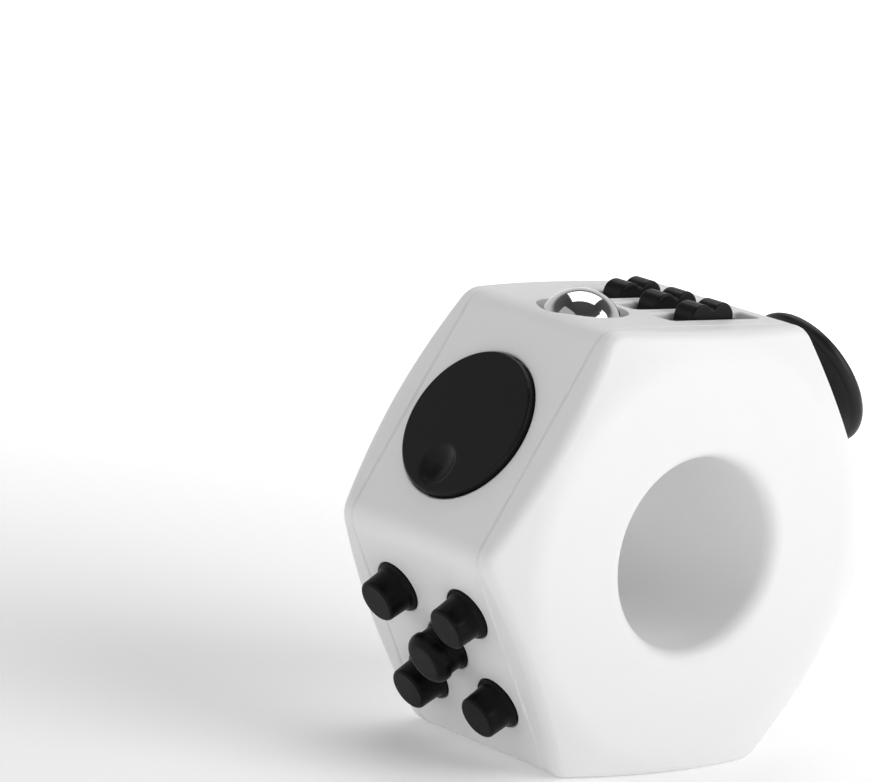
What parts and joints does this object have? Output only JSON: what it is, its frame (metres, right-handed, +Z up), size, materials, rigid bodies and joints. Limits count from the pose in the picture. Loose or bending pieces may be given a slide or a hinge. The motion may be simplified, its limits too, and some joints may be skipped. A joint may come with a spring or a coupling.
{
  "type": "hexagonal fidget toy",
  "caption": "Nut-shaped hexagonal desk fidget with a finger hole; a spinning dial, click buttons, roller ball, thumb wheels, joystick, rocker and worry dish on its side faces.",
  "frame": {"origin": "middle of the finger hole, halfway between the front and rear faces", "axes": "+Y along the finger hole towards the rear face, +Z up through the face with the ball and wheels, +X towards the joystick side"},
  "size_m": [0.061, 0.03, 0.0522],
  "materials": {
    "white_plastic": "satin moulded",
    "black_plastic": "satin moulded",
    "black_rubber": "soft matt",
    "chrome_ball": "polished",
    "inner_plastic": "as moulded",
    "steel": "zinc plated",
    "spring_steel": "drawn wire"
  },
  "bodies": {
    "housing": {"body_band": "white_plastic", "front_cover": "white_plastic", "rear_cover": "white_plastic", "button_plate": "inner_plastic", "button_plate_screws": "steel", "ball_plug": "inner_plastic", "wheel_axle": "steel", "joystick_base": "inner_plastic", "joystick_base_screws": "steel", "rocker_pin": "steel", "rocker_leaf_spring": "spring_steel", "joystick_spring": "spring_steel", "ball_spring": "spring_steel", "button_spring_centre": "spring_steel", "button_spring_upper_front": "spring_steel", "button_spring_upper_rear": "spring_steel", "button_spring_lower_front": "spring_steel", "button_spring_lower_rear": "spring_steel"},
    "dial": {"spin_dial": "black_plastic", "dial_washer": "steel", "dial_screw": "steel"},
    "ball_carrier": {"ball_cup": "inner_plastic"},
    "ball": {"roll_ball": "chrome_ball"},
    "wheel_front": {"thumb_wheel_front": "black_plastic"},
    "wheel_middle": {"thumb_wheel_middle": "black_plastic"},
    "wheel_rear": {"thumb_wheel_rear": "black_plastic"},
    "gimbal": {"joystick_cross": "steel"},
    "joystick": {"joystick_dome": "black_plastic", "joystick_cap": "black_rubber"},
    "rocker": {"rocker_switch": "black_plastic"},
    "button_centre": {"click_button_centre": "black_rubber"},
    "button_upper_front": {"click_button_upper_front": "black_rubber"},
    "button_upper_rear": {"click_button_upper_rear": "black_rubber"},
    "button_lower_front": {"click_button_lower_front": "black_rubber"},
    "button_lower_rear": {"click_button_lower_rear": "black_rubber"}
  },
  "joints": [
    {"name": "centre_button_press", "type": "slide", "parent": "housing", "child": "button_centre", "axis": [-0.866, 0, -0.5], "range_m": [-0.0015, 0], "stiffness_N_per_m": 500, "springref_m": 0.0008, "deforming": ["button_spring_centre"]},
    {"name": "upper_front_button_press", "type": "slide", "parent": "housing", "child": "button_upper_front", "axis": [-0.866, 0, -0.5], "range_m": [-0.0015, 0], "stiffness_N_per_m": 500, "springref_m": 0.0008, "deforming": ["button_spring_upper_front"]},
    {"name": "upper_rear_button_press", "type": "slide", "parent": "housing", "child": "button_upper_rear", "axis": [-0.866, 0, -0.5], "range_m": [-0.0015, 0], "stiffness_N_per_m": 500, "springref_m": 0.0008, "deforming": ["button_spring_upper_rear"]},
    {"name": "lower_front_button_press", "type": "slide", "parent": "housing", "child": "button_lower_front", "axis": [-0.866, 0, -0.5], "range_m": [-0.0015, 0], "stiffness_N_per_m": 500, "springref_m": 0.0008, "deforming": ["button_spring_lower_front"]},
    {"name": "lower_rear_button_press", "type": "slide", "parent": "housing", "child": "button_lower_rear", "axis": [-0.866, 0, -0.5], "range_m": [-0.0015, 0], "stiffness_N_per_m": 500, "springref_m": 0.0008, "deforming": ["button_spring_lower_rear"]},
    {"name": "dial_spin", "type": "hinge", "parent": "housing", "child": "dial", "pos_m": [-0.0219, 0.00065, 0.01207], "axis": [-0.866, 0, 0.5], "continuous": true},
    {"name": "ball_press", "type": "slide", "parent": "housing", "child": "ball_carrier", "axis": [0, 0, 1], "range_m": [-0.001, 0], "stiffness_N_per_m": 800, "springref_m": 0.0006, "deforming": ["ball_spring"]},
    {"name": "ball_roll", "type": "hinge", "parent": "ball_carrier", "child": "ball", "pos_m": [-0.0086, -0.0006, 0.0222], "axis": [0, 1, 0], "continuous": true},
    {"name": "front_wheel_spin", "type": "hinge", "parent": "housing", "child": "wheel_front", "pos_m": [0.00475, 0, 0.0214], "axis": [0, 1, 0], "continuous": true},
    {"name": "middle_wheel_spin", "type": "hinge", "parent": "housing", "child": "wheel_middle", "pos_m": [0.00475, 0, 0.0214], "axis": [0, 1, 0], "continuous": true},
    {"name": "rear_wheel_spin", "type": "hinge", "parent": "housing", "child": "wheel_rear", "pos_m": [0.00475, 0, 0.0214], "axis": [0, 1, 0], "continuous": true},
    {"name": "joystick_tilt_across", "type": "hinge", "parent": "housing", "child": "gimbal", "pos_m": [0.01559, 0, 0.009], "axis": [0, 1, 0], "range_deg": [-16, 16], "stiffness_Nm_per_rad": 0.06, "deforming": ["joystick_spring"]},
    {"name": "joystick_tilt_along", "type": "hinge", "parent": "gimbal", "child": "joystick", "pos_m": [0.01559, 0, 0.009], "axis": [0.5, 0, -0.866], "range_deg": [-16, 16], "stiffness_Nm_per_rad": 0.06},
    {"name": "rocker_flip", "type": "hinge", "parent": "housing", "child": "rocker", "pos_m": [0.01905, 0, -0.011], "axis": [0, 1, 0], "range_deg": [0, 16], "deforming": ["rocker_leaf_spring"]}
  ]
}
